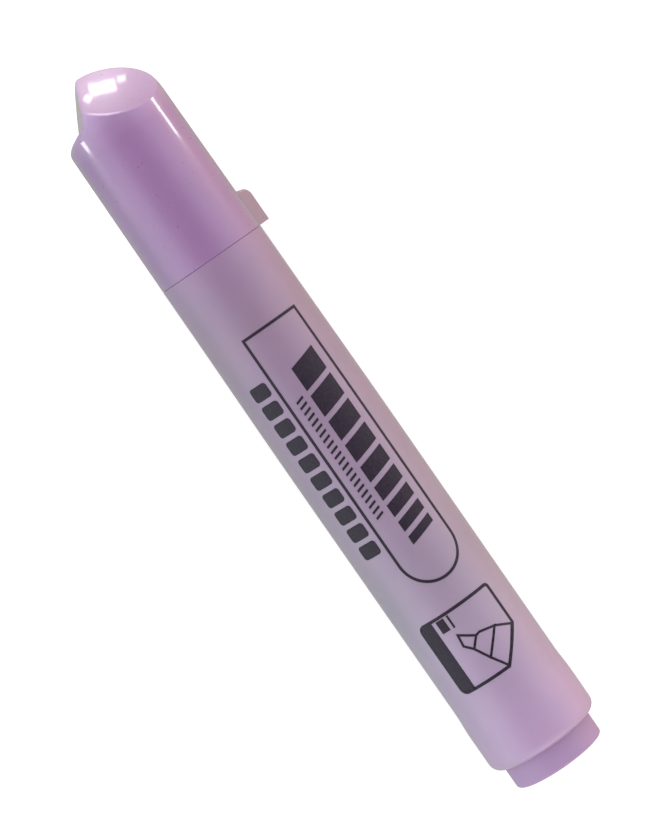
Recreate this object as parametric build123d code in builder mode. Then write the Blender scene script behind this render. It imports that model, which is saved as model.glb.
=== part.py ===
"""A capped highlighter: round barrel, domed and faceted cap with a pocket clip, chisel nib.

The pen's axis is X. The origin is the centre of the rear plug's flat end face, +X runs
towards the cap, and +Z is up for the pen lying down, with the clip's lug just touching the
surface that it lies on. All lengths are in millimetres and all angles in degrees.
"""

import os
from math import cos, radians, sin

from build123d import *

# Stations along the axis, measured from the rear plug's end face.
BARREL_REAR_X = 3.5
FLARE_X = 9.5
FLARE_START_X = 13.3
BODY_FRONT_X = 51.0
SHOULDER_X = 83.95
DOME_CENTRE_X = 106.8
NIB_TIP_X = 101.2

# Outside radii: the barrel widens a little from its front to its rear.
BARREL_FRONT_R = 8.07
BARREL_R = 8.25
BARREL_FLARE_R = 8.42
CAP_MOUTH_R = 8.05
DOME_R = 7.87
PLUG_R = 6.93

# Barrel inside, and the neck that the cap slides over.
BARREL_BORE_R = 6.9
BARREL_REAR_FILLET = 1.5
BORE_FRONT_X = 81.45
NECK_R = 6.72
NECK_BORE_R = 5.62
NECK_END_X = 90.4
CLICK_RING_R = 6.83
CLICK_RING_X = 88.6
CLICK_RING_LENGTH = 0.9
RIB_COUNT = 6
RIB_INNER_R = 6.46
RIB_THICKNESS = 0.8
RIB_START_X = 14.0
RIB_END_X = 80.0

# Cap.
SEAM_GAP = 0.03
CAP_BORE_R = 6.86
CAP_BORE_END_X = 100.7
CAP_CAVITY_END_X = 105.0
CAP_CAVITY_END_R = 6.1
CAP_CORE_R = 2.4
CAP_CORE_END_X = 108.8
CAP_RIB_COUNT = 6
CAP_RIB_START_X = 94.8
CAP_RIB_INNER_R = 5.93
CAP_LIP_BEVEL = 0.06
CAP_CUT_SIZE = 40.0

# Three flat cuts shape the dome: a facet across its top, and a notch's wall and ledge.
# Each is set by how far its normal leans from the axis, by the azimuth it leans towards,
# and by its distance from the dome's centre.
FACET_LEAN = 40.0
FACET_AZIMUTH = 34.4
FACET_DISTANCE = 4.78
FACET_EDGE_FILLET = 0.5
WALL_LEAN = 61.5
WALL_AZIMUTH = -84.4
WALL_DISTANCE = 4.9
LEDGE_LEAN = 16.2
LEDGE_AZIMUTH = -113.6
LEDGE_DISTANCE = 1.87
NOTCH_ROOT_FILLET = 1.6
NOTCH_RIM_FILLET = 1.3

# Pocket clip, on the side of the cap that lies towards the table.
CLIP_AZIMUTH = 128.5
CLIP_WIDTH = 4.2
CLIP_INNER_H = 7.78
CLIP_OUTER_H = 8.55
CLIP_ROOT_X = 104.2
CLIP_ROOT_GAP = 0.03
CLIP_ROOT_H = 8.42
CLIP_ROOT_TAPER = 2.0
LUG_START_X = 89.7
LUG_TOP_H = 10.85
LUG_SLOPE = 0.5
LUG_SHOULDER_R = 1.3
LUG_FOOT_R = 0.4
CLIP_EDGE_FILLET = 0.3
CLIP_FLAT_H = 7.5
CLIP_FLAT_WIDTH = 4.8
CLIP_FLAT_OVERRUN = 1.0
CLIP_BOSS_END_X = 109.2

# Inner cap that seals the nib.
LINER_R = 5.9
LINER_BORE_R = 5.02
LINER_MOUTH_X = 92.3
LINER_FLOOR = 0.8

# Front section that holds the nib.
SECTION_REAR_X = 82.4
SECTION_SPIGOT_R = 5.6
SECTION_FLANGE_R = 6.3
SECTION_FLANGE_LENGTH = 0.9
SECTION_SEAL_R = 4.95
SECTION_SEAL_END_X = 94.3
SECTION_NOSE_R = 3.55
SECTION_NOSE_X = 97.3
SECTION_NOSE_FILLET = 0.5
SECTION_WALL = 1.1
SECTION_SLEEVE_CORNER_R = 1.0

# Chisel nib, a flat fibre bar with a slanted writing edge.
NIB_WIDTH = 4.6
NIB_THICKNESS = 3.4
NIB_REAR_X = 74.0
NIB_SLANT_DEPTH = 2.6
NIB_EDGE_THICKNESS = 1.6
NIB_BEVEL_LENGTH = 3.6
NIB_CORNER_R = 0.6
NIB_FIT = 0.03

# Ink reservoir and its film.
RESERVOIR_R = 6.3
FILM_R = 6.4
RESERVOIR_REAR_X = 10.5
RESERVOIR_FRONT_X = 81.2

# Rear plug.
PLUG_SPIGOT_R = 6.88
PLUG_SPIGOT_END_X = 9.6
PLUG_WALL = 1.2
PLUG_EDGE_FILLET = 0.45

# How far a rib or a ring reaches into the wall that carries it.
ROOTING = 0.2


def side_plane(azimuth):
    """The plane through the axis whose second direction points away from the axis.

    The azimuth is counted about the axis from straight up, positive towards -Y.
    """
    outward = Vector(0, -sin(radians(azimuth)), cos(radians(azimuth)))
    along = Vector(1, 0, 0)
    return Plane(origin=(0, 0, 0), x_dir=along, z_dir=along.cross(outward))


# Barrel: a tube with a slight waist, a flared rear and a stepped neck in front.
with BuildPart() as barrel:
    with BuildSketch(Plane.XY):
        with BuildLine():
            outer = Spline(
                (SHOULDER_X, BARREL_FRONT_R),
                (BODY_FRONT_X, BARREL_R),
                tangents=((-1, 0), (-1, 0)),
            )
            middle = Line(outer @ 1, (FLARE_START_X, BARREL_R))
            flare = Spline(middle @ 1, (FLARE_X, BARREL_FLARE_R), tangents=((-1, 0), (-1, 0)))
            Polyline(
                flare @ 1,
                (BARREL_REAR_X, BARREL_FLARE_R),
                (BARREL_REAR_X, BARREL_BORE_R),
                (BORE_FRONT_X, BARREL_BORE_R),
                (BORE_FRONT_X, NECK_BORE_R),
                (NECK_END_X, NECK_BORE_R),
                (NECK_END_X, NECK_R),
                (SHOULDER_X, NECK_R),
                outer @ 0,
            )
        make_face()
    revolve(axis=Axis.X)
    rear_circles = barrel.edges().filter_by(GeomType.CIRCLE).group_by(Axis.X)[0]
    fillet(rear_circles.sort_by(SortBy.RADIUS)[-1], BARREL_REAR_FILLET)
    with BuildSketch(Plane.YZ.offset(CLICK_RING_X)):
        Circle(CLICK_RING_R)
        Circle(NECK_R - ROOTING, mode=Mode.SUBTRACT)
    extrude(amount=CLICK_RING_LENGTH)
    with BuildSketch(Plane.YZ.offset(RIB_START_X)):
        with PolarLocations((RIB_INNER_R + BARREL_BORE_R + ROOTING) / 2, RIB_COUNT):
            Rectangle(BARREL_BORE_R + ROOTING - RIB_INNER_R, RIB_THICKNESS)
    extrude(amount=RIB_END_X - RIB_START_X)

# Rear plug: a hollow stopper, its flat end face at the origin.
with BuildPart() as rear_plug:
    with BuildSketch(Plane.XY):
        with BuildLine():
            Polyline(
                (0, 0),
                (0, PLUG_R),
                (BARREL_REAR_X, PLUG_R),
                (BARREL_REAR_X, PLUG_SPIGOT_R),
                (PLUG_SPIGOT_END_X, PLUG_SPIGOT_R),
                (PLUG_SPIGOT_END_X, PLUG_SPIGOT_R - PLUG_WALL),
                (PLUG_WALL, PLUG_SPIGOT_R - PLUG_WALL),
                (PLUG_WALL, 0),
                close=True,
            )
        make_face()
    revolve(axis=Axis.X)
    fillet(rear_plug.edges().filter_by(GeomType.CIRCLE).group_by(Axis.X)[0], PLUG_EDGE_FILLET)

# Nib outline seen from above, and its bevel seen from the side.
NIB_HALF = NIB_WIDTH / 2
NIB_THIN = NIB_EDGE_THICKNESS / 2
NIB_THICK = NIB_THICKNESS / 2

with BuildPart() as nib:
    with BuildSketch(Plane.YZ.offset(NIB_REAR_X)):
        RectangleRounded(NIB_WIDTH, NIB_THICKNESS, NIB_CORNER_R)
    extrude(amount=NIB_TIP_X - NIB_REAR_X)
    with BuildSketch(Plane.XY):
        with BuildLine():
            Polyline(
                (NIB_TIP_X, NIB_HALF),
                (NIB_TIP_X, -NIB_HALF),
                (NIB_TIP_X - NIB_SLANT_DEPTH, -NIB_HALF),
                close=True,
            )
        make_face()
    extrude(amount=NIB_THICK, both=True, mode=Mode.SUBTRACT)
    with BuildSketch(Plane.XZ):
        for side in (1, -1):
            with BuildLine():
                Polyline(
                    (NIB_TIP_X, side * NIB_THIN),
                    (NIB_TIP_X, side * NIB_THICK),
                    (NIB_TIP_X - NIB_BEVEL_LENGTH, side * NIB_THICK),
                    close=True,
                )
            make_face()
    extrude(amount=NIB_HALF, both=True, mode=Mode.SUBTRACT)

# Front section: a spigot pressed into the neck, a flange, a seal land and a nose.
with BuildPart() as front_section:
    with BuildSketch(Plane.XY):
        with BuildLine():
            flange_end = NECK_END_X + SECTION_FLANGE_LENGTH
            Polyline(
                (SECTION_REAR_X, 0),
                (SECTION_REAR_X, SECTION_SPIGOT_R),
                (NECK_END_X, SECTION_SPIGOT_R),
                (NECK_END_X, SECTION_FLANGE_R),
                (flange_end, SECTION_FLANGE_R),
                (flange_end, SECTION_SEAL_R),
                (SECTION_SEAL_END_X, SECTION_SEAL_R),
                (SECTION_NOSE_X, SECTION_NOSE_R),
                (SECTION_NOSE_X, 0),
                close=True,
            )
        make_face()
    revolve(axis=Axis.X)
    with BuildSketch(Plane.YZ.offset(SECTION_REAR_X)):
        Circle(SECTION_SPIGOT_R - SECTION_WALL)
        RectangleRounded(
            NIB_WIDTH + 2 * SECTION_WALL,
            NIB_THICKNESS + 2 * SECTION_WALL,
            SECTION_SLEEVE_CORNER_R,
            mode=Mode.SUBTRACT,
        )
    extrude(amount=SECTION_SEAL_END_X - SECTION_REAR_X - 2 * SECTION_WALL, mode=Mode.SUBTRACT)
    with BuildSketch(Plane.YZ.offset(SECTION_REAR_X)):
        RectangleRounded(NIB_WIDTH + 2 * NIB_FIT, NIB_THICKNESS + 2 * NIB_FIT, NIB_CORNER_R)
    extrude(amount=SECTION_NOSE_X - SECTION_REAR_X, mode=Mode.SUBTRACT)
    nose_rim = front_section.edges().filter_by(GeomType.CIRCLE).group_by(Axis.X)[-1]
    fillet(nose_rim, SECTION_NOSE_FILLET)

# Ink reservoir: a fibre rod with a socket for the nib's tail.
with BuildPart() as ink_reservoir:
    with BuildSketch(Plane.YZ.offset(RESERVOIR_REAR_X)):
        Circle(RESERVOIR_R)
    extrude(amount=RESERVOIR_FRONT_X - RESERVOIR_REAR_X)
    with BuildSketch(Plane.YZ.offset(NIB_REAR_X)):
        RectangleRounded(NIB_WIDTH + 2 * NIB_FIT, NIB_THICKNESS + 2 * NIB_FIT, NIB_CORNER_R)
    extrude(amount=RESERVOIR_FRONT_X - NIB_REAR_X, mode=Mode.SUBTRACT)

# Film wrapped round the reservoir.
with BuildPart() as reservoir_film:
    with BuildSketch(Plane.YZ.offset(RESERVOIR_REAR_X)):
        Circle(FILM_R)
        Circle(RESERVOIR_R, mode=Mode.SUBTRACT)
    extrude(amount=RESERVOIR_FRONT_X - RESERVOIR_REAR_X)

# Inner cap: a thin cup that closes over the front section's seal land.
with BuildPart() as inner_cap:
    with BuildSketch(Plane.XY):
        with BuildLine():
            Polyline(
                (LINER_MOUTH_X, LINER_BORE_R),
                (LINER_MOUTH_X, LINER_R),
                (CAP_CAVITY_END_X, LINER_R),
                (CAP_CAVITY_END_X, 0),
                (CAP_CAVITY_END_X - LINER_FLOOR, 0),
                (CAP_CAVITY_END_X - LINER_FLOOR, LINER_BORE_R),
                close=True,
            )
        make_face()
    revolve(axis=Axis.X)

# Cap: a tapered tube closed by a dome, with a facet and a notch cut across the dome.
cap_mouth_x = SHOULDER_X + SEAM_GAP


def dome_cut(lean, azimuth, distance):
    """A plane across the dome whose normal points out of the cap."""
    normal = Vector(
        cos(radians(lean)),
        -sin(radians(lean)) * sin(radians(azimuth)),
        sin(radians(lean)) * cos(radians(azimuth)),
    )
    return Plane(origin=Vector(DOME_CENTRE_X, 0, 0) + normal * distance, z_dir=normal)


facet_plane = dome_cut(FACET_LEAN, FACET_AZIMUTH, FACET_DISTANCE)
wall_plane = dome_cut(WALL_LEAN, WALL_AZIMUTH, WALL_DISTANCE)
ledge_plane = dome_cut(LEDGE_LEAN, LEDGE_AZIMUTH, LEDGE_DISTANCE)


def notch_tool():
    """The space outside the notch's wall and above its ledge, as one solid."""
    with BuildPart() as tool:
        with Locations((DOME_CENTRE_X, 0, 0)):
            Box(CAP_CUT_SIZE, CAP_CUT_SIZE, CAP_CUT_SIZE)
        split(bisect_by=wall_plane, keep=Keep.TOP)
        split(bisect_by=ledge_plane, keep=Keep.TOP)
    return tool.part


def face_on(part, plane):
    """The part's flat face that lies on a cut's plane."""
    flats = part.faces().filter_by(GeomType.PLANE)
    return max(flats, key=lambda face: face.normal_at().dot(plane.z_dir))


def curved_edges(face):
    """The edges of a face that aren't straight."""
    return [edge for edge in face.edges() if edge.geom_type != GeomType.LINE]


def shared_edges(first, second):
    """The edges where two faces meet."""
    return [edge for edge in first.edges() if any(edge.is_same(other) for other in second.edges())]


def clip_prism(outline, width):
    """A closed outline, drawn as (station, height) on the clip's side, extruded across it."""
    with BuildPart() as prism:
        with BuildSketch(side_plane(CLIP_AZIMUTH)):
            with BuildLine():
                Polyline(*outline, close=True)
            make_face()
        extrude(amount=width / 2, both=True)
    return prism.part


with BuildPart() as cap_shell:
    with BuildSketch(Plane.XY):
        with BuildLine():
            side = Line((cap_mouth_x + CAP_LIP_BEVEL, CAP_MOUTH_R), (DOME_CENTRE_X, DOME_R))
            dome = CenterArc((DOME_CENTRE_X, 0), DOME_R, 90, -90)
            Polyline(dome @ 1, (cap_mouth_x, 0), (cap_mouth_x, CAP_MOUTH_R - CAP_LIP_BEVEL), side @ 0)
        make_face()
    revolve(axis=Axis.X)
    split(bisect_by=facet_plane, keep=Keep.BOTTOM)
    add(notch_tool(), mode=Mode.SUBTRACT)
    notch_root = shared_edges(face_on(cap_shell, wall_plane), face_on(cap_shell, ledge_plane))
    fillet(notch_root, NOTCH_ROOT_FILLET)
    notch_sides = [face_on(cap_shell, wall_plane), face_on(cap_shell, ledge_plane)]
    notch_rim = [edge for side in notch_sides for edge in curved_edges(side)]
    fillet(notch_rim, NOTCH_RIM_FILLET)
    fillet(face_on(cap_shell, facet_plane).edges(), FACET_EDGE_FILLET)
    add(
        clip_prism(
            [
                (CLIP_ROOT_X, CAP_BORE_R),
                (CLIP_ROOT_X, CLIP_ROOT_H),
                (DOME_CENTRE_X, CLIP_ROOT_H),
                (CLIP_BOSS_END_X, CAP_BORE_R),
            ],
            CLIP_WIDTH,
        )
    )
    add(
        clip_prism(
            [
                (cap_mouth_x - CLIP_FLAT_OVERRUN, CLIP_FLAT_H),
                (cap_mouth_x - CLIP_FLAT_OVERRUN, CLIP_OUTER_H),
                (CLIP_ROOT_X, CLIP_OUTER_H),
                (CLIP_ROOT_X, CLIP_FLAT_H),
            ],
            CLIP_FLAT_WIDTH,
        ),
        mode=Mode.SUBTRACT,
    )
    with BuildSketch(Plane.XY):
        with BuildLine():
            Polyline(
                (cap_mouth_x, 0),
                (cap_mouth_x, CAP_BORE_R),
                (CAP_BORE_END_X, CAP_BORE_R),
                (CAP_CAVITY_END_X, CAP_CAVITY_END_R),
                (CAP_CAVITY_END_X, CAP_CORE_R),
                (CAP_CORE_END_X, CAP_CORE_R),
                (CAP_CORE_END_X, 0),
                close=True,
            )
        make_face()
    revolve(axis=Axis.X, mode=Mode.SUBTRACT)
    with BuildSketch(Plane.YZ.offset(CAP_RIB_START_X)):
        with PolarLocations((CAP_RIB_INNER_R + CAP_BORE_R + ROOTING) / 2, CAP_RIB_COUNT):
            Rectangle(CAP_BORE_R + ROOTING - CAP_RIB_INNER_R, RIB_THICKNESS)
    extrude(amount=CAP_CAVITY_END_X - CAP_RIB_START_X)

# Pocket clip: a straight bar with a raised finger lug at its free end.
clip_side = side_plane(CLIP_AZIMUTH)
clip_root_x = CLIP_ROOT_X - CLIP_ROOT_GAP

with BuildPart() as pocket_clip:
    with BuildSketch(clip_side):
        with BuildLine():
            Polyline(
                (clip_root_x, CLIP_INNER_H),
                (clip_root_x, CLIP_ROOT_H),
                (clip_root_x - CLIP_ROOT_TAPER, CLIP_OUTER_H),
                (LUG_START_X, CLIP_OUTER_H),
                (LUG_START_X - LUG_SLOPE, LUG_TOP_H),
                (cap_mouth_x, LUG_TOP_H),
                (cap_mouth_x, CLIP_INNER_H),
                close=True,
            )
        make_face()
    extrude(amount=CLIP_WIDTH / 2, both=True)
    outwards = Axis((0, 0, 0), clip_side.y_dir)
    crosswise = Axis((0, 0, 0), clip_side.z_dir)
    lug_shoulder = pocket_clip.edges().filter_by(crosswise).group_by(outwards)[-1].sort_by(Axis.X)[-1]
    fillet(lug_shoulder, LUG_SHOULDER_R)
    lug_foot = clip_side.from_local_coords((LUG_START_X, CLIP_OUTER_H, 0))
    fillet(pocket_clip.edges().filter_by(crosswise).sort_by_distance(lug_foot)[0], LUG_FOOT_R)
    lug_top = pocket_clip.faces().filter_by(GeomType.PLANE).sort_by(outwards)[-1]
    fillet(lug_top.edges().filter_by(Axis.X), CLIP_EDGE_FILLET)

pieces = {
    "barrel": barrel,
    "rear_plug": rear_plug,
    "front_section": front_section,
    "nib": nib,
    "ink_reservoir": ink_reservoir,
    "reservoir_film": reservoir_film,
    "cap_shell": cap_shell,
    "inner_cap": inner_cap,
    "pocket_clip": pocket_clip,
}
os.makedirs("parts", exist_ok=True)
for name, piece in pieces.items():
    piece.part.label = name
    export_step(piece.part, f"parts/{name}.step")
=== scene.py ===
"""The looks of the highlighter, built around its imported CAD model.

Lengths in the frame are metres. Places on the pen are given in millimetres along its axis
from the rear plug, and in degrees about the axis from straight up, positive towards -Y.
"""

import math

import bmesh
import bpy
from mathutils import Matrix, Vector
from mathutils.bvhtree import BVHTree


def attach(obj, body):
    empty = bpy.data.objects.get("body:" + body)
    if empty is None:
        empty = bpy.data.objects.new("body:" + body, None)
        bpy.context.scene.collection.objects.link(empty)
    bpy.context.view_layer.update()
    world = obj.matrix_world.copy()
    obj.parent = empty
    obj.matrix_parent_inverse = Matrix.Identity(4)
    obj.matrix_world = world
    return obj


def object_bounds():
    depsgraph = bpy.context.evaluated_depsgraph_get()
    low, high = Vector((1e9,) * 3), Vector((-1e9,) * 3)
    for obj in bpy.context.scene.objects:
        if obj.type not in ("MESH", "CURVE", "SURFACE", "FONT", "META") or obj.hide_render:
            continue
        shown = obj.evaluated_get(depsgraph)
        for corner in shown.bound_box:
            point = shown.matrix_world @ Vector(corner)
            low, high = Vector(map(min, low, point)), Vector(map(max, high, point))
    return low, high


MM = 0.001

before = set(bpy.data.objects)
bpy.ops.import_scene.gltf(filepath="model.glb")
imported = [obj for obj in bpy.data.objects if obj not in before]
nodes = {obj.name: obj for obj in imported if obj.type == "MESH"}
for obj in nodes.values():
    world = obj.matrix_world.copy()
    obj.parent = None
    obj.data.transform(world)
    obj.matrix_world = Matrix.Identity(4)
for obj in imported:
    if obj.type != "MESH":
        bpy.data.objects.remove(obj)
cad_box = [list(corner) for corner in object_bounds()]

# ---------------------------------------------------------------- camera
# AXIS_ANGLE is the pen's slant across the picture, in degrees.
CAMERA_HEIGHT = 0.45
CAMERA_X = 0.087
CAMERA_AIM = Vector((0.0577, -0.00043, 0))
SENSOR_MM = 36.0
LENS_MM = 142.9
AXIS_ANGLE = 55.2


def make_camera():
    """A camera close above the cap, turned a little so that the whole pen is in view."""
    place = Vector((CAMERA_X, 0, CAMERA_HEIGHT))
    backward = (place - CAMERA_AIM).normalized()
    along = Vector((1, 0, 0))
    along = (along - backward * along.dot(backward)).normalized()
    across = along.cross(backward)
    roll = math.radians(AXIS_ANGLE)
    right = across * math.sin(roll) - along * math.cos(roll)
    up = across * math.cos(roll) + along * math.sin(roll)
    data = bpy.data.cameras.new("camera")
    data.sensor_width = SENSOR_MM
    data.lens = LENS_MM
    data.clip_end = 20
    camera = bpy.data.objects.new("camera", data)
    bpy.context.scene.collection.objects.link(camera)
    turn = Matrix((right, up, backward)).transposed().to_4x4()
    camera.matrix_world = Matrix.Translation(place) @ turn
    bpy.context.scene.camera = camera


make_camera()


# ---------------------------------------------------------------- materials
def new_material(name):
    """A new material with its node tree and its Principled shader."""
    material = bpy.data.materials.new(name)
    material.use_nodes = True
    tree = material.node_tree
    shader = tree.nodes["Principled BSDF"]
    return material, tree, shader


def coordinates(tree, scale=1000.0):
    """Object coordinates in millimetres."""
    place = tree.nodes.new("ShaderNodeTexCoord")
    grow = tree.nodes.new("ShaderNodeVectorMath")
    grow.operation = "SCALE"
    grow.inputs["Scale"].default_value = scale
    tree.links.new(place.outputs["Object"], grow.inputs[0])
    return grow.outputs["Vector"]


def noise(tree, vector, scale, detail=3.0, roughness=0.5):
    """Soft noise between 0 and 1."""
    node = tree.nodes.new("ShaderNodeTexNoise")
    node.inputs["Scale"].default_value = scale
    node.inputs["Detail"].default_value = detail
    node.inputs["Roughness"].default_value = roughness
    tree.links.new(vector, node.inputs["Vector"])
    return node.outputs["Fac"]


def ramp(tree, value, stops):
    """A colour from a value between 0 and 1: stops are (position, linear colour)."""
    node = tree.nodes.new("ShaderNodeValToRGB")
    elements = node.color_ramp.elements
    while len(elements) < len(stops):
        elements.new(0.5)
    for element, (position, colour) in zip(elements, stops):
        element.position = position
        element.color = (*colour, 1)
    tree.links.new(value, node.inputs["Fac"])
    return node.outputs["Color"]


def mix(tree, factor, first, second, mode="MIX"):
    """Two colours blended by a factor, given as a number or as a socket."""
    node = tree.nodes.new("ShaderNodeMix")
    node.data_type = "RGBA"
    node.blend_type = mode
    for socket, value in (("Factor_Float", factor), ("A_Color", first), ("B_Color", second)):
        target = next(s for s in node.inputs if s.identifier == socket)
        if isinstance(value, (int, float)):
            target.default_value = value
        else:
            tree.links.new(value, target)
    return next(s for s in node.outputs if s.identifier == "Result_Color")


def map_range(tree, value, low, high, to_low, to_high):
    """A value stretched from one range onto another."""
    node = tree.nodes.new("ShaderNodeMapRange")
    node.inputs["From Min"].default_value = low
    node.inputs["From Max"].default_value = high
    node.inputs["To Min"].default_value = to_low
    node.inputs["To Max"].default_value = to_high
    tree.links.new(value, node.inputs["Value"])
    return node.outputs["Result"]


def bump(tree, shader, height, strength, distance_mm):
    """Surface grain from a height, given to the shader's normal."""
    node = tree.nodes.new("ShaderNodeBump")
    node.inputs["Strength"].default_value = strength
    node.inputs["Distance"].default_value = distance_mm * MM
    tree.links.new(height, node.inputs["Height"])
    tree.links.new(node.outputs["Normal"], shader.inputs["Normal"])


def station(tree, vector):
    """Distance along the pen from the rear plug, in millimetres."""
    split = tree.nodes.new("ShaderNodeSeparateXYZ")
    tree.links.new(vector, split.inputs["Vector"])
    return split.outputs["X"]


def moulded_plastic(name, stops, roughness, subsurface, grain_mm, grain_strength, coat=0.0, gloss=0.3):
    """Moulded polypropylene: stops are (station in mm, linear colour) along the pen; where they change along
    the pen, painted light and shade lies in the base colour on top of the plastic's own colour.
    """
    material, tree, shader = new_material(name)
    place = coordinates(tree)
    along = station(tree, place)
    low = stops[0][0]
    high = stops[-1][0]
    span = high - low
    position = map_range(tree, along, low, high, 0, 1)
    # The ramp along the pen paints light and shade into the base colour wherever the stops change.
    colour = ramp(tree, position, [((x - low) / span, c) for x, c in stops])
    clouds = noise(tree, place, 0.16, 2.0)
    tint = ramp(tree, clouds, [(0.35, (0.94, 0.95, 0.97)), (0.65, (1.0, 0.985, 1.0))])
    colour = mix(tree, 1.0, colour, tint, "MULTIPLY")
    tree.links.new(colour, shader.inputs["Base Color"])
    fine = noise(tree, place, 1 / grain_mm, 4.0, 0.6)
    tree.links.new(
        map_range(tree, fine, 0.3, 0.7, roughness * 0.9, roughness * 1.12),
        shader.inputs["Roughness"],
    )
    shader.inputs["IOR"].default_value = 1.49
    shader.inputs["Subsurface Weight"].default_value = subsurface
    shader.inputs["Subsurface Radius"].default_value = (1.0, 0.7, 1.0)
    shader.inputs["Subsurface Scale"].default_value = 0.0016
    if coat:
        shader.inputs["Coat Weight"].default_value = coat
        shader.inputs["Coat Roughness"].default_value = gloss
    bump(tree, shader, fine, grain_strength, 0.02)
    return material


def make_materials():
    # The barrel's stops are its own lilac with painted light and shade: lighter towards the rear plug,
    # darker towards the cap.
    barrel_stops_with_painted_shade = [
        (2, (0.385, 0.26, 0.41)),
        (9, (0.37, 0.255, 0.395)),
        (14, (0.335, 0.245, 0.36)),
        (24, (0.295, 0.235, 0.32)),
        (30, (0.27, 0.212, 0.288)),
        (46, (0.255, 0.193, 0.27)),
        (66, (0.24, 0.17, 0.25)),
        (74, (0.235, 0.16, 0.235)),
        (84, (0.25, 0.155, 0.265)),
    ]
    plug_colour = (0.355, 0.24, 0.39)
    # The cap's stops are its own lilac with painted light at its top end, which is much lighter than the
    # rest of the cap.
    cap_stops_with_painted_light = [(84, (0.25, 0.14, 0.28)), (104, (0.255, 0.135, 0.285)), (113, (0.42, 0.30, 0.46))]
    # Painted shade: the clip's stops are a redder, less blue lilac than the cap's.
    clip_stops_with_painted_shade = [(84, (0.27, 0.19, 0.22)), (105, (0.27, 0.17, 0.24))]
    return {
        "barrel": moulded_plastic("barrel_plastic", barrel_stops_with_painted_shade, 0.42, 0.25, 0.35, 0.2, coat=1.0),
        "rear_plug": moulded_plastic(
            "plug_plastic", [(0, plug_colour), (10, plug_colour)], 0.45, 0.2, 0.3, 0.25
        ),
        "cap_shell": moulded_plastic("cap_plastic", cap_stops_with_painted_light, 0.3, 0.25, 0.8, 0.08, coat=1.0, gloss=0.08),
        "pocket_clip": moulded_plastic("clip_plastic", clip_stops_with_painted_shade, 0.3, 0.2, 0.8, 0.08, coat=0.4, gloss=0.1),
        "front_section": moulded_plastic(
            "section_plastic", [(80, (0.58, 0.52, 0.61)), (101, (0.58, 0.52, 0.61))], 0.35, 0.2, 0.4, 0.2
        ),
        "inner_cap": moulded_plastic(
            "inner_cap_plastic", [(90, (0.62, 0.57, 0.65)), (109, (0.62, 0.57, 0.65))], 0.45, 0.3, 0.4, 0.2
        ),
        "reservoir_film": moulded_plastic(
            "film_plastic", [(10, (0.64, 0.60, 0.68)), (84, (0.64, 0.60, 0.68))], 0.15, 0.1, 0.6, 0.1
        ),
    }


def fibre(name, colour):
    """Bundled fibre: streaks along the pen and a rough matt surface."""
    material, tree, shader = new_material(name)
    place = coordinates(tree)
    stretch = tree.nodes.new("ShaderNodeMapping")
    stretch.inputs["Scale"].default_value = (0.25, 6.0, 6.0)
    tree.links.new(place, stretch.inputs["Vector"])
    streaks = noise(tree, stretch.outputs["Vector"], 1.0, 5.0, 0.6)
    dark = tuple(0.7 * channel for channel in colour)
    tree.links.new(ramp(tree, streaks, [(0.3, dark), (0.7, colour)]), shader.inputs["Base Color"])
    shader.inputs["Roughness"].default_value = 0.85
    bump(tree, shader, streaks, 0.6, 0.08)
    return material


materials = make_materials()
materials["nib"] = fibre("nib_fibre", (0.40, 0.16, 0.52))
materials["ink_reservoir"] = fibre("reservoir_fibre", (0.38, 0.18, 0.50))
for node_name, node in nodes.items():
    node.data.materials.clear()
    node.data.materials.append(materials[node_name])


def ink_material():
    """Screen-printed black ink, a little uneven and semi-gloss."""
    material, tree, shader = new_material("print_ink")
    place = coordinates(tree)
    mottle = noise(tree, place, 3.0, 4.0, 0.6)
    colour = ramp(tree, mottle, [(0.35, (0.010, 0.006, 0.014)), (0.7, (0.022, 0.014, 0.028))])
    tree.links.new(colour, shader.inputs["Base Color"])
    shader.inputs["Roughness"].default_value = 0.45
    shader.inputs["Specular IOR Level"].default_value = 0.3
    bump(tree, shader, mottle, 0.2, 0.01)
    return material


INK = ink_material()

# ---------------------------------------------------------------- print on the barrel
BARREL_R_MM = 8.25
INK_LIFT_MM = 0.025
INK_SINK_MM = 0.02
INK_EDGE_MM = 0.6
INK_SPLITS = 4
barrel_tree = BVHTree.FromPolygons(
    [vertex.co.copy() for vertex in nodes["barrel"].data.vertices],
    [tuple(polygon.vertices) for polygon in nodes["barrel"].data.polygons],
)


def outward(azimuth):
    """The direction away from the pen's axis at an azimuth in degrees."""
    angle = math.radians(azimuth)
    return Vector((0, -math.sin(angle), math.cos(angle)))


def on_barrel(x_mm, arc_mm, lift_mm):
    """The point on the barrel at a station and an arc length from straight up."""
    direction = outward(math.degrees(arc_mm / BARREL_R_MM))
    start = Vector((x_mm * MM, 0, 0)) + direction * (3 * BARREL_R_MM * MM)
    hit = barrel_tree.ray_cast(start, -direction)[0]
    return hit + direction * (lift_mm * MM)


def arc_of(azimuth):
    """Arc length in millimetres on the barrel for an azimuth in degrees."""
    return math.radians(azimuth) * BARREL_R_MM


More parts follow.
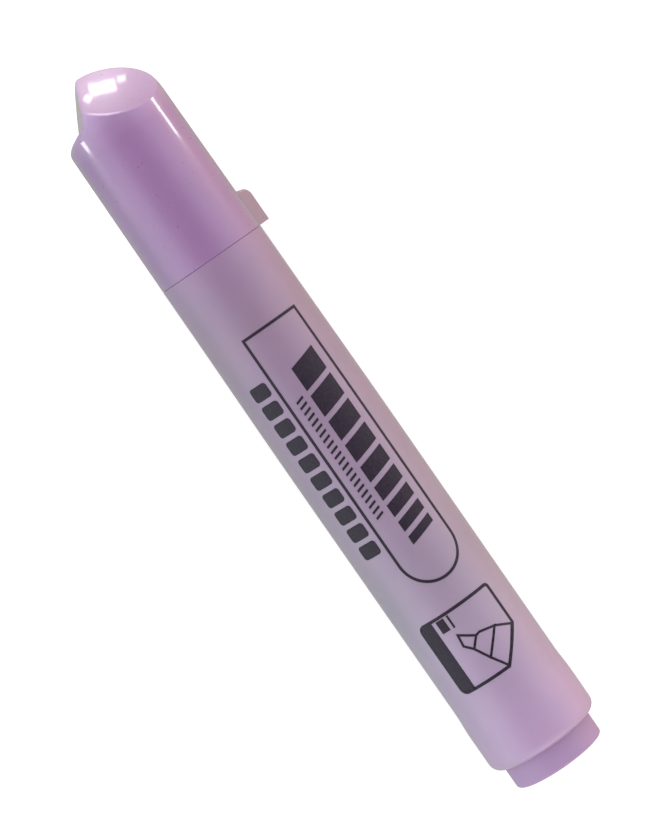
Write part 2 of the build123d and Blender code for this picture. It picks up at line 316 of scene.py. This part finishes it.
def printed(name, outlines):
    """A layer of ink: closed outlines of (station, arc) points, wrapped onto the barrel."""
    mesh = bpy.data.meshes.new(name)
    shape = bmesh.new()
    for outline in outlines:
        corners = [shape.verts.new((x, y, 0)) for x, y in outline]
        for first, second in zip(corners, corners[1:] + corners[:1]):
            shape.edges.new((first, second))
    bmesh.ops.triangle_fill(shape, use_beauty=True, use_dissolve=False, edges=shape.edges[:])
    for _ in range(INK_SPLITS):
        long_edges = [edge for edge in shape.edges if edge.calc_length() > INK_EDGE_MM]
        if not long_edges:
            break
        bmesh.ops.subdivide_edges(shape, edges=long_edges, cuts=1)
        bmesh.ops.triangulate(shape, faces=shape.faces[:])
    bmesh.ops.recalc_face_normals(shape, faces=shape.faces[:])
    flat = [(vertex.co.x, vertex.co.y) for vertex in shape.verts]
    shape.verts.index_update()
    faces = [[v.index for v in face.verts] for face in shape.faces]
    rims = [[v.index for v in edge.verts] for edge in shape.edges if len(edge.link_faces) == 1]
    shape.free()
    count = len(flat)
    points = [on_barrel(x, y, INK_LIFT_MM) for x, y in flat]
    points += [on_barrel(x, y, -INK_SINK_MM) for x, y in flat]
    solid = [tuple(face) for face in faces]
    solid += [tuple(index + count for index in reversed(face)) for face in faces]
    solid += [(a, b, b + count, a + count) for a, b in rims]
    mesh.from_pydata([tuple(point) for point in points], [], solid)
    mesh.validate()
    closed = bmesh.new()
    closed.from_mesh(mesh)
    bmesh.ops.recalc_face_normals(closed, faces=closed.faces[:])
    closed.to_mesh(mesh)
    closed.free()
    mesh.materials.append(INK)
    piece = bpy.data.objects.new(name, mesh)
    bpy.context.scene.collection.objects.link(piece)
    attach(piece, "pen")


def arc_points(centre, radius, start, end, count=16):
    """Points on an arc about (station, arc), angles in degrees from the station direction."""
    points = []
    for step in range(count + 1):
        angle = math.radians(start + (end - start) * step / count)
        points.append((centre[0] + radius * math.cos(angle), centre[1] + radius * math.sin(angle)))
    return points


def stroke(points, width, closed=False):
    """The outline, or two outlines, of a line of a given width with mitred corners."""
    count = len(points)
    sides = ([], [])
    for index, point in enumerate(points):
        here = Vector(point)
        before = Vector(points[index - 1]) if closed or index else None
        after = Vector(points[(index + 1) % count]) if closed or index < count - 1 else None
        into = (here - before).normalized() if before else (after - here).normalized()
        out = (after - here).normalized() if after else into
        normal = Vector((-(into + out).y, (into + out).x)).normalized()
        reach = width / 2 / max(0.35, normal.dot(Vector((-into.y, into.x))))
        sides[0].append(tuple(here + normal * reach))
        sides[1].append(tuple(here - normal * reach))
    if closed:
        return [sides[0], sides[1]]
    return [sides[0] + sides[1][::-1]]


FRAME_LINE_MM = 0.42
SIGN_LINE_MM = 0.34
SIGN_EDGE_MM = 0.46


def print_long_frame():
    """A long frame, square towards the cap and round towards the rear."""
    left = arc_of(-20.6)
    right = arc_of(42.4)
    front_x = 72.5
    radius = (right - left) / 2
    centre = (31.0 + radius, (left + right) / 2)
    points = [(front_x, left), (front_x, right)]
    points += arc_points(centre, radius, 90, 270, 28)
    printed("print_long_frame", stroke(points, FRAME_LINE_MM, closed=True))


def rectangle(x, arc, length, height, slant=0.0):
    """A mark centred on a station and an arc, leaning along the pen by slant."""
    half_x = length / 2
    half_arc = height / 2
    lean = slant / 2
    return [
        (x - half_x - lean, arc - half_arc),
        (x + half_x - lean, arc - half_arc),
        (x + half_x + lean, arc + half_arc),
        (x - half_x + lean, arc + half_arc),
    ]


def print_bars():
    """Slanted bars inside the frame, each thinner than the one before."""
    front_x = 66.4
    gap = 0.8
    thickest = 3.7
    thinner = 0.3
    slant = 1.1
    low = arc_of(2.6)
    high = arc_of(32.4)
    outlines = []
    for index in range(9):
        thick = thickest - thinner * index
        centre = front_x - thick / 2
        outlines.append(rectangle(centre, (low + high) / 2, thick, high - low, slant))
        front_x -= thick + gap
    printed("print_bars", outlines)


def print_blocks():
    """A row of blocks with rounded corners beside the frame."""
    front_x = 66.5
    step = 2.88
    low = arc_of(-48.4)
    high = arc_of(-26.6)
    corner = 0.5
    length = 2.15
    outlines = []
    for index in range(10):
        front = front_x - step * index - corner
        rear = front_x - step * index - length + corner
        block = arc_points((front, high - corner), corner, 0, 90, 4)
        block += arc_points((rear, high - corner), corner, 90, 180, 4)
        block += arc_points((rear, low + corner), corner, 180, 270, 4)
        block += arc_points((front, low + corner), corner, 270, 360, 4)
        outlines.append(block)
    printed("print_blocks", outlines)


def print_ticks():
    """A row of thin ticks between the frame's left line and the bars."""
    low = arc_of(-12.2)
    high = arc_of(-3.4)
    first_x = 61.7
    step = 0.9
    thick = 0.36
    slant = 0.4
    outlines = []
    for index in range(22):
        outlines.append(rectangle(first_x - step * index, (low + high) / 2, thick, high - low, slant))
    printed("print_ticks", outlines)


def print_sign():
    """A square sign with one cut corner, a solid band and a line drawing of the nib."""
    left = arc_of(-42.5)
    right = arc_of(41.0)
    front_x = 26.8
    rear_x = 15.95
    round_r = 0.9
    corner_r = 0.5
    cut_front_x = 20.4
    cut_arc = arc_of(11.5)
    border = arc_points((front_x - round_r, left + round_r), round_r, 270, 360, 6)
    border += arc_points((front_x - corner_r, right - corner_r), corner_r, 0, 90, 4)
    border += [(cut_front_x, right), (rear_x, cut_arc)]
    border += arc_points((rear_x + round_r, left + round_r), round_r, 180, 270, 6)
    printed("print_sign_border", stroke(border, SIGN_EDGE_MM, closed=True))
    band_side = arc_of(-27.5)
    band = [(front_x, band_side)]
    band += arc_points((front_x - round_r, left + round_r), round_r, 360, 270, 6)
    band += arc_points((rear_x + round_r, left + round_r), round_r, 270, 180, 6)
    band += [(rear_x, band_side)]
    printed("print_sign_band", [band])
    tip = [(23.4, -1.75), (22.0, 0.3), (20.6, -0.95), (21.7, -1.95)]
    ferrule = [(22.0, 0.3), (22.15, 0.95), (21.6, 3.2), (18.4, 0.25), (20.6, -0.95)]
    collar = [(21.6, 3.2), (20.35, 5.6), (16.0, 1.75), (18.4, 0.25)]
    printed("print_sign_tip", stroke(tip, SIGN_LINE_MM, closed=True))
    printed("print_sign_ferrule", stroke(ferrule, SIGN_LINE_MM, closed=True))
    printed("print_sign_collar", stroke(collar, SIGN_LINE_MM, closed=True))
    sign_mark = [rectangle(25.5, arc_of(-19.0), 1.9, 1.25), rectangle(25.5, arc_of(-10.2), 2.0, 0.3)]
    printed("print_sign_mark", sign_mark)


print_long_frame()
print_bars()
print_blocks()
print_ticks()
print_sign()

# ---------------------------------------------------------------- stage
FLOOR_Z = cad_box[0][2]
FLOOR_GLOW = 0.62


def make_floor():
    """A plain pale floor.

    It is kept out of the bounce light and the reflections, so its glow doesn't brighten the pen.
    """
    mesh = bpy.data.meshes.new("floor")
    shape = bmesh.new()
    bmesh.ops.create_grid(shape, x_segments=2, y_segments=2, size=3)
    bmesh.ops.translate(shape, verts=shape.verts, vec=(0, 0, FLOOR_Z))
    shape.to_mesh(mesh)
    shape.free()
    floor = bpy.data.objects.new("floor", mesh)
    bpy.context.scene.collection.objects.link(floor)
    material, tree, shader = new_material("floor_paper")
    paper = noise(tree, coordinates(tree, 1.0), 40.0, 3.0)
    tree.links.new(
        ramp(tree, paper, [(0.3, (0.52, 0.52, 0.52)), (0.7, (0.55, 0.55, 0.55))]),
        shader.inputs["Base Color"],
    )
    shader.inputs["Roughness"].default_value = 0.9
    shader.inputs["Emission Color"].default_value = (1, 1, 1, 1)
    shader.inputs["Emission Strength"].default_value = FLOOR_GLOW
    mesh.materials.append(material)
    floor.visible_diffuse = False
    floor.visible_glossy = False


def area_light(name, place, target, width, height, radiance, spin=0.0):
    """A softbox, unseen by the camera, with its brightness given as radiance.

    Its width lies along the pen as far as facing the target allows, and spin turns it in its
    own plane, in degrees.
    """
    data = bpy.data.lights.new(name, "AREA")
    data.shape = "RECTANGLE"
    data.size = width
    data.size_y = height
    data.energy = radiance * width * height * math.pi
    light = bpy.data.objects.new(name, data)
    light.visible_camera = False
    bpy.context.scene.collection.objects.link(light)
    place = Vector(place)
    facing = (place - Vector(target)).normalized()
    upward = facing.cross(Vector((1, 0, 0))).normalized()
    sideways = upward.cross(facing).normalized()
    turn = Matrix((sideways, upward, facing)).transposed().to_4x4()
    turn = turn @ Matrix.Rotation(math.radians(spin), 4, "Z")
    light.matrix_world = Matrix.Translation(place) @ turn


# The studio's walls from straight down, -1, to straight up, 1: greenish left, warm right.
LEFT_WALL = [
    (-1.0, (0.42, 0.45, 0.40)),
    (-0.35, (0.62, 0.80, 0.68)),
    (-0.05, (1.20, 1.40, 1.30)),
    (0.2, (1.60, 1.68, 1.78)),
    (0.5, (1.66, 1.64, 1.77)),
    (0.68, (1.50, 1.43, 1.65)),
    (0.85, (0.85, 0.80, 0.88)),
    (1.0, (0.28, 0.26, 0.18)),
]
RIGHT_WALL = [
    (-1.0, (0.45, 0.42, 0.38)),
    (-0.35, (1.15, 0.88, 0.70)),
    (-0.05, (1.75, 1.45, 1.25)),
    (0.2, (1.82, 1.56, 1.50)),
    (0.5, (1.55, 1.42, 1.50)),
    (0.68, (1.32, 1.26, 1.40)),
    (0.85, (0.75, 0.72, 0.76)),
    (1.0, (0.28, 0.26, 0.18)),
]


def make_world():
    """A soft studio with bright walls, dim overhead and below."""
    world = bpy.data.worlds.new("world")
    bpy.context.scene.world = world
    world.use_nodes = True
    tree = world.node_tree
    background = tree.nodes["Background"]
    place = tree.nodes.new("ShaderNodeTexCoord")
    split = tree.nodes.new("ShaderNodeSeparateXYZ")
    tree.links.new(place.outputs["Generated"], split.inputs["Vector"])
    height = map_range(tree, split.outputs["Z"], -1, 1, 0, 1)
    left = ramp(tree, height, [((z + 1) / 2, colour) for z, colour in LEFT_WALL])
    right = ramp(tree, height, [((z + 1) / 2, colour) for z, colour in RIGHT_WALL])
    side = map_range(tree, split.outputs["Y"], -0.8, 0.8, 0, 1)
    tree.links.new(mix(tree, side, right, left), background.inputs["Color"])


make_floor()
make_world()
CAP_FACE = (0.108, -0.001, 0.004)
STREAK_RADIANCE = 12.0
GLINT_RADIANCE = 7.0
GLINT_DISTANCE = 0.017
area_light("front_fill", (0.55, -0.12, 0.18), CAP_FACE, 0.3, 0.25, 4.5)
streaks = [
    ("streak_right", (0.1073, -0.066, -0.0002), (0.1030, -0.0058, 0.0053), 0.0094, 0.0075),
    ("streak_left", (0.1105, 0.0653, 0.011), (0.1075, 0.0053, 0.0058), 0.0062, 0.0075),
]
for name, place, spot, width, height in streaks:
    area_light(name, place, spot, width, height, STREAK_RADIANCE)
glint_way = Vector((0.8005, -0.3562, -0.4818))
glints = [
    ("glint_middle", (0.1114, -0.0011, 0.0016), 0.0038, 0.0017, -42.0),
    ("glint_right", (0.1110, -0.0040, 0.0002), 0.0012, 0.0008, -42.0),
    ("glint_left", (0.1112, 0.0015, 0.0037), 0.0010, 0.0010, 0.0),
]
for name, spot, width, height, spin in glints:
    place = Vector(spot) + glint_way * GLINT_DISTANCE
    area_light(name, place, spot, width, height, GLINT_RADIANCE, spin)
bpy.context.scene.view_settings.view_transform = "Standard"
